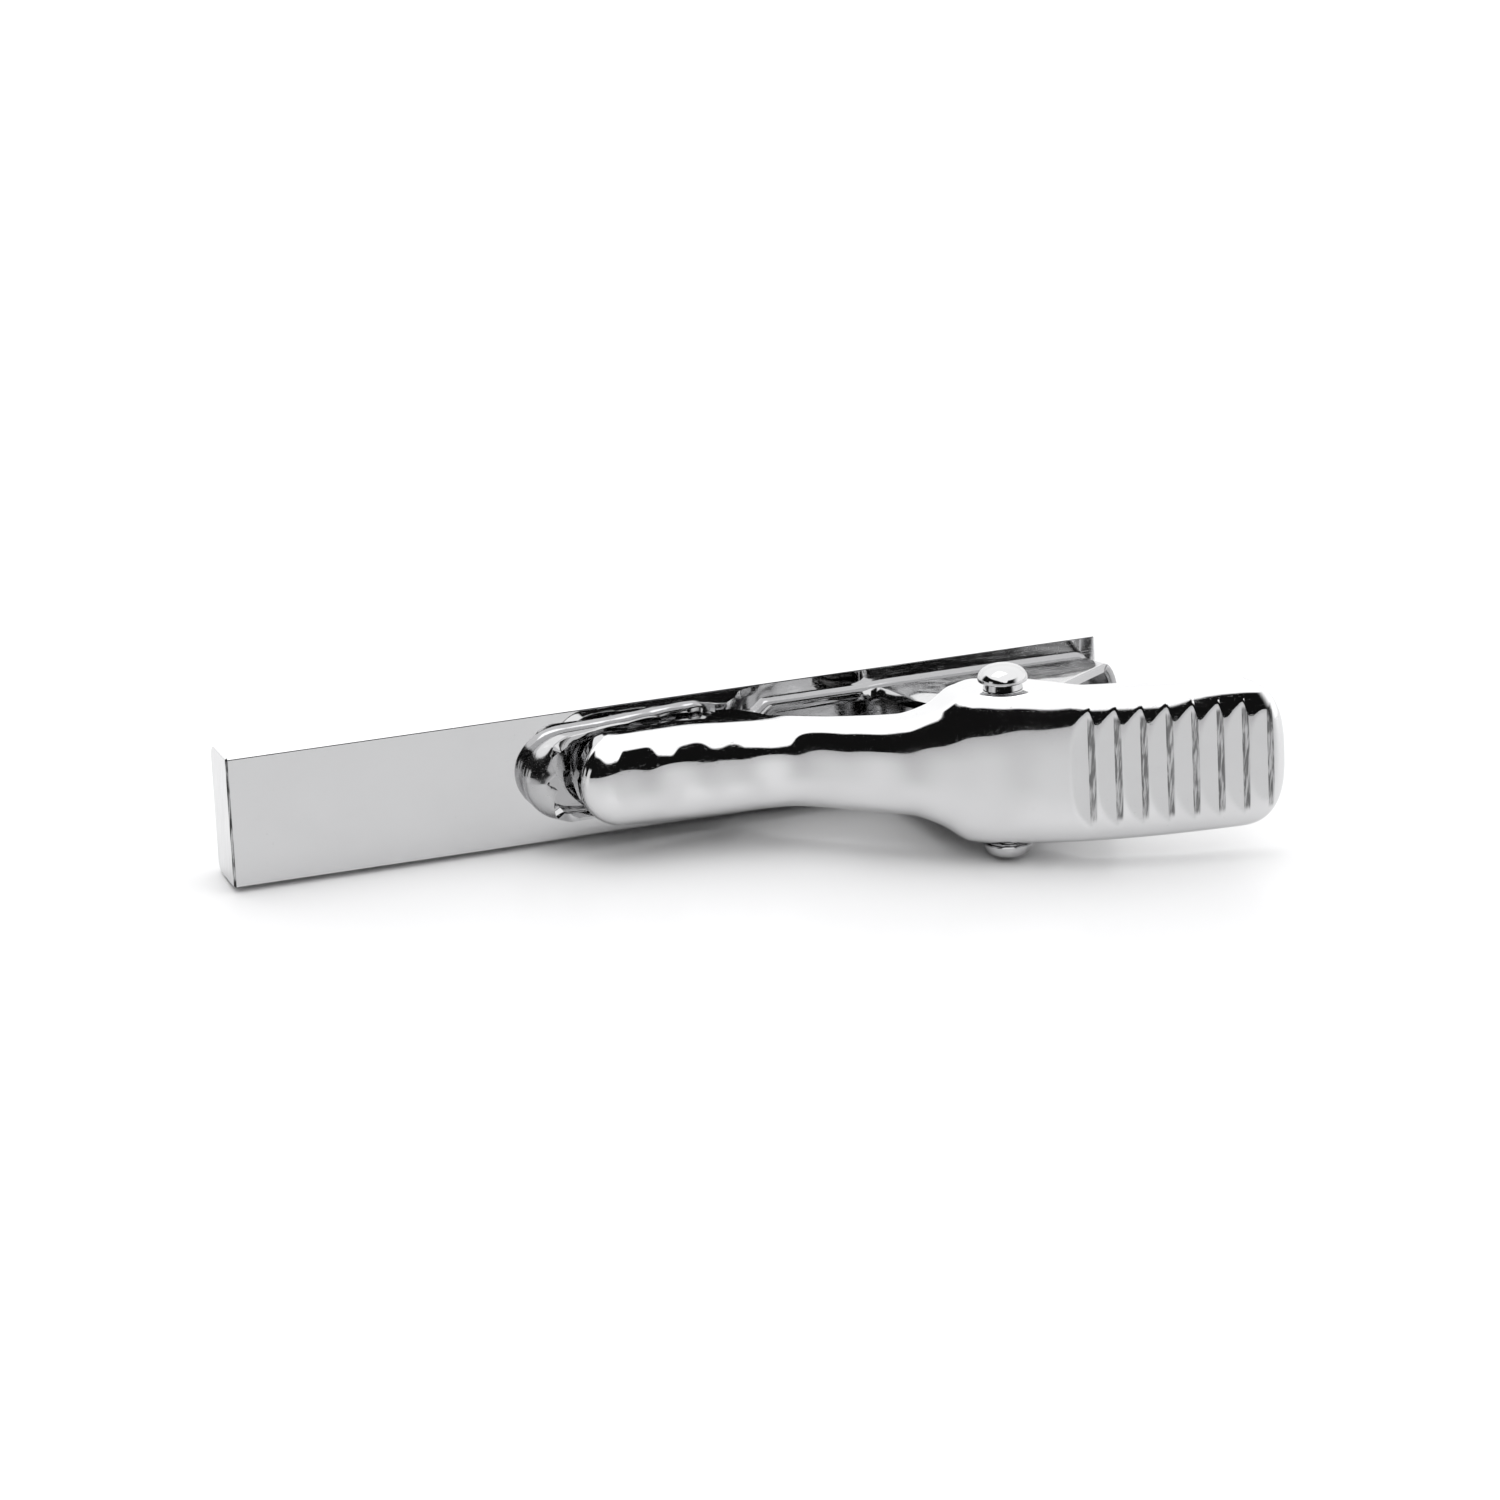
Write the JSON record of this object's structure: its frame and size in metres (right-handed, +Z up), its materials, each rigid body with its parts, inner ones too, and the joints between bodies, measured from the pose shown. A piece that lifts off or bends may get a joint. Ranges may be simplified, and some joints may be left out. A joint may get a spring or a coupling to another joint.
{
  "type": "tie clip",
  "caption": "Polished metal tie bar with a sprung toothed lever hinged on its back, which grips a tie and shirt placket and opens when its ribbed thumb pad is pressed.",
  "frame": {"origin": "centre of the bounding box in plan, on the table the clip stands on", "axes": "+X along the bar from its plain end to the hinged end, +Z up from the table, +Y towards the bar's decorated front; the bar leans back about 7 degrees, standing on its lower front edge and on the rivet's lower head"},
  "size_m": [0.0532, 0.0178, 0.0104],
  "materials": {
    "bar_chrome": "mirror-polished plating with faint wear scratches",
    "bracket_chrome": "bright plating over a pressed surface",
    "lever_chrome": "mirror-polished plating",
    "rivet_chrome": "bright plating",
    "spring_steel": "drawn wire, dull",
    "solder": "matt tin solder"
  },
  "bodies": {
    "bar": {"front_bar": "bar_chrome", "solder_layer": "solder", "jaw_bracket": "bracket_chrome", "hinge_rivet": "rivet_chrome", "torsion_spring": "spring_steel"},
    "lever": {"lever": "lever_chrome"}
  },
  "joints": [
    {"name": "lever_pivot", "type": "hinge", "parent": "bar", "child": "lever", "pos_m": [0.01275, -0.00361, 0.00507], "axis": [0, 0.1242, 0.9923], "range_deg": [0, 40], "stiffness_Nm_per_rad": 0.03, "springref_deg": -45.84, "deforming": ["torsion_spring"]}
  ]
}
